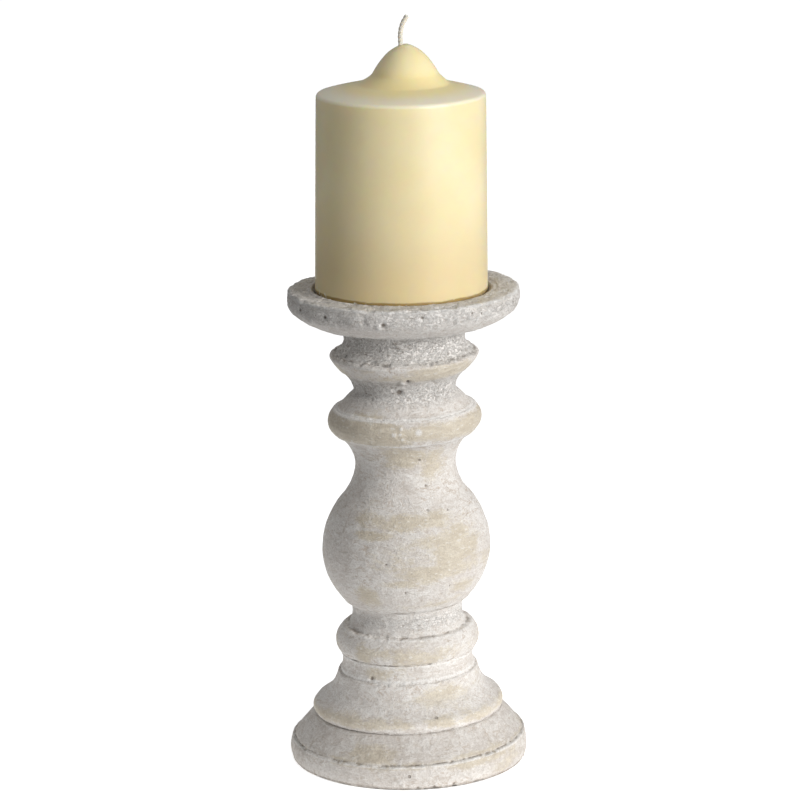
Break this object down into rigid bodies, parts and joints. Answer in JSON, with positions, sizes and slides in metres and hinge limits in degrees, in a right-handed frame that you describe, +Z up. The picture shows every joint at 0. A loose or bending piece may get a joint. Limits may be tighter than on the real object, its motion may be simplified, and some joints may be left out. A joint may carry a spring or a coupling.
{
  "type": "pillar candlestick",
  "caption": "Turned baluster candlestick with a chalky limewashed finish, holding a domed pillar candle that lifts off a hidden spike.",
  "frame": {"origin": "centre of the felt pad's underside, on the surface that the candlestick stands on", "axes": "+Z up along the turning axis; +X to the side the wick leans to; -Y to the viewer"},
  "size_m": [0.0992, 0.099, 0.3103],
  "materials": {
    "limewashed_wood": "chalky limewash over gesso, rubbed back to a buff coat",
    "beech": "plain planed beech",
    "zinc_steel": "zinc plated",
    "pricket_steel": "plain rolled steel",
    "felt": "pressed felt",
    "wax": "smooth satin paraffin wax",
    "cotton": "braided cotton"
  },
  "bodies": {
    "holder": {"felt_pad": "felt", "foot": "limewashed_wood", "foot_screw": "zinc_steel", "foot_washer": "zinc_steel", "pedestal": "limewashed_wood", "stem_dowel": "beech", "baluster": "limewashed_wood", "dish_dowel": "beech", "dish": "limewashed_wood", "pricket_plate": "pricket_steel", "pricket_spike": "pricket_steel", "pricket_screws": "zinc_steel"},
    "candle": {"candle": "wax", "wick": "cotton"}
  },
  "joints": [
    {"name": "candle_lift", "type": "slide", "parent": "holder", "child": "candle", "axis": [0, 0, 1], "range_m": [0, 0.04]}
  ]
}
